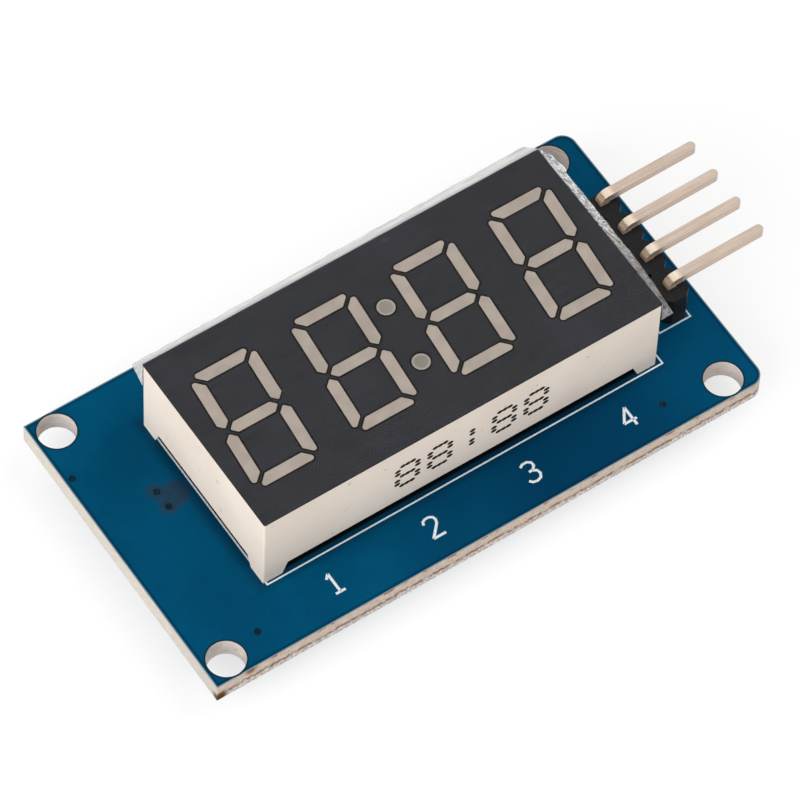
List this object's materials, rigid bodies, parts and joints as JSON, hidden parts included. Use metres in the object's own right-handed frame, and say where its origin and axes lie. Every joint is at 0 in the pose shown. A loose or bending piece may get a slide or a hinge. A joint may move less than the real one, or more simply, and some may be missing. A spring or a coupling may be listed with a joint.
{
  "type": "seven segment display module",
  "caption": "Blue driver board with a white-sided, black-faced seven segment clock display, a bent pin header and mounting holes at its corners.",
  "frame": {"origin": "middle of the four mounting holes, on the board's back face", "axes": "+X reading direction, towards the pin header; +Y top of the digits; +Z the way the digits face"},
  "size_m": [0.047, 0.0228, 0.0106],
  "materials": {
    "board": "blue solder mask, satin, over glass-fibre board",
    "housing": "warm white moulded plastic, matt",
    "face": "charcoal black printed face, matt",
    "segment": "diffusing epoxy, warm grey, unlit",
    "colon": "diffusing epoxy, grey, unlit",
    "film": "clear protective film, glossy, creased at its flaps",
    "substrate": "bare glass-fibre laminate",
    "die": "semiconductor chip",
    "seal": "dark potting epoxy",
    "tinned": "tinned copper alloy",
    "pin": "gold flashed brass pin, satin",
    "header": "black moulded plastic",
    "chip": "black moulding compound, matt",
    "resistor": "black glazed film resistor with tinned ends",
    "capacitor": "tan ceramic block with tinned ends",
    "solder": "bright solder"
  },
  "bodies": {
    "root": {"circuit_board": "board", "display_housing": "housing", "face_mask": "face", "protective_film": "film", "led_substrate": "substrate", "led_dies": "die", "back_seal": "seal", "display_pins_upper_row": "tinned", "display_pins_lower_row": "tinned", "header_body": "header", "driver_chip": "chip", "driver_chip_leads": "tinned", "display_solder_joints": "solder", "header_solder_joints": "solder", "chip_solder_joints": "solder", "passive_solder_joints": "solder", "header_pin_1": "pin", "header_pin_2": "pin", "header_pin_3": "pin", "header_pin_4": "pin", "resistor_1": "resistor", "resistor_2": "resistor", "capacitor_1": "capacitor", "capacitor_2": "capacitor", "capacitor_3": "capacitor", "capacitor_4": "capacitor", "digit_1_segment_a": "segment", "digit_1_segment_b": "segment", "digit_1_segment_c": "segment", "digit_1_segment_d": "segment", "digit_1_segment_e": "segment", "digit_1_segment_f": "segment", "digit_1_segment_g": "segment", "digit_2_segment_a": "segment", "digit_2_segment_b": "segment", "digit_2_segment_c": "segment", "digit_2_segment_d": "segment", "digit_2_segment_e": "segment", "digit_2_segment_f": "segment", "digit_2_segment_g": "segment", "digit_3_segment_a": "segment", "digit_3_segment_b": "segment", "digit_3_segment_c": "segment", "digit_3_segment_d": "segment", "digit_3_segment_e": "segment", "digit_3_segment_f": "segment", "digit_3_segment_g": "segment", "digit_4_segment_a": "segment", "digit_4_segment_b": "segment", "digit_4_segment_c": "segment", "digit_4_segment_d": "segment", "digit_4_segment_e": "segment", "digit_4_segment_f": "segment", "digit_4_segment_g": "segment", "colon_dot_upper": "colon", "colon_dot_lower": "colon"}
  },
  "joints": []
}
